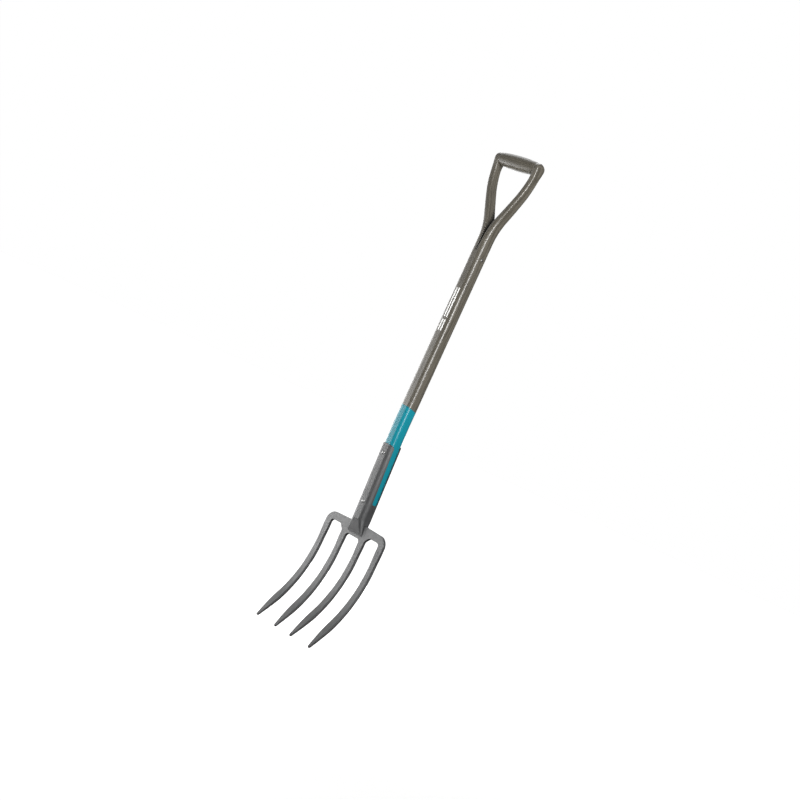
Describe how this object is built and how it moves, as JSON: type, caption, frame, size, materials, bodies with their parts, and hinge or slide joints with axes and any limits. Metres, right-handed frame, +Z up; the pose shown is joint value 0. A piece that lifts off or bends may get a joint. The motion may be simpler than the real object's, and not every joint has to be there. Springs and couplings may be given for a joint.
{
  "type": "digging fork",
  "caption": "Garden digging fork with curved flat tines, a riveted two-strap socket and a split wooden D handle.",
  "frame": {"origin": "on the line of the straight shaft, level with the axis of the hand grip", "axes": "+Z up along the shaft towards the grip, tines down; +X across the tines; the tines curve towards -Y, which is the front"},
  "size_m": [0.2072, 0.1008, 1.1704],
  "materials": {
    "forged_steel": "fine textured grey coating",
    "strap_steel": "fine textured grey coating",
    "ash_wood": "grey stain under satin varnish, lower end dipped in teal lacquer",
    "grip_wood": "grey stain under satin varnish",
    "rivet_steel": "bright satin",
    "pin_steel": "dull"
  },
  "bodies": {
    "root": {"fork_head": "forged_steel", "front_strap": "strap_steel", "rear_strap": "strap_steel", "shaft": "ash_wood", "grip": "grip_wood", "grip_pin_left": "pin_steel", "grip_pin_right": "pin_steel", "strap_rivet_upper": "rivet_steel", "strap_rivet_lower": "rivet_steel", "split_rivet": "rivet_steel", "split_rivet_burr": "rivet_steel"}
  },
  "joints": []
}
